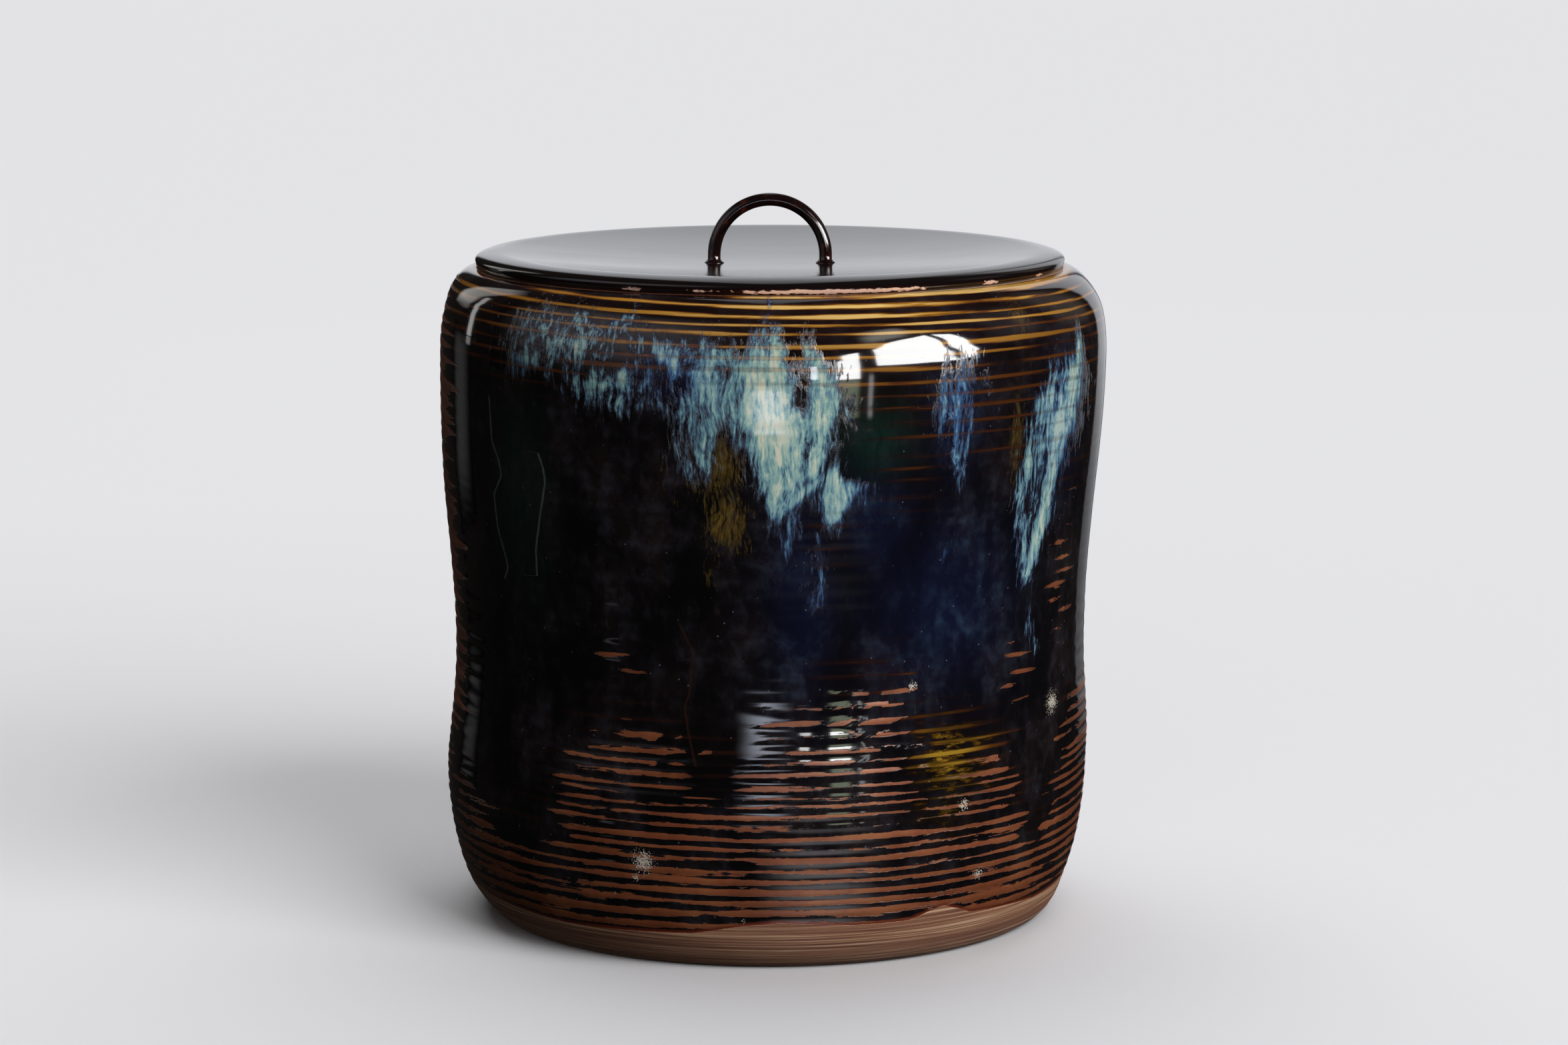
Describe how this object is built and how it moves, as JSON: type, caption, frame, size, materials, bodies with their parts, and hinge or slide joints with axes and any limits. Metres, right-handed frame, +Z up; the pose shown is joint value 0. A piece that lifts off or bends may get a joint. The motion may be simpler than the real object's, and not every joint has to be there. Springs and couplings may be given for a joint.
{
  "type": "lidded tea water jar",
  "caption": "Stoneware water jar with a combed, run-glazed wall and a soft waist, closed by a scooped lacquered wooden lid that lifts off by a bent loop handle.",
  "frame": {"origin": "centre of the jar's base, on the surface that it stands on", "axes": "+Z up along the jar's axis, +X along the span of the lid's loop handle, -Y towards the viewer"},
  "size_m": [0.18, 0.18, 0.1949],
  "materials": {
    "glazed_stoneware": "glossy black-brown iron glaze with amber ring tops and pale blue runs, bare brown clay at the foot",
    "lid_lacquer": "black-brown lacquer polished to a mirror, worn at the lower edge",
    "handle_lacquer": "dark red-brown lacquer over a bent rod, rubbed on the inside of the loop"
  },
  "bodies": {
    "jar": {"jar_body": "glazed_stoneware"},
    "lid": {"lid_plate": "lid_lacquer", "lid_locating_ring": "lid_lacquer", "lid_handle": "handle_lacquer"}
  },
  "joints": [
    {"name": "lid_lift", "type": "slide", "parent": "jar", "child": "lid", "axis": [0, 0, 1], "range_m": [0, 0.12]}
  ]
}
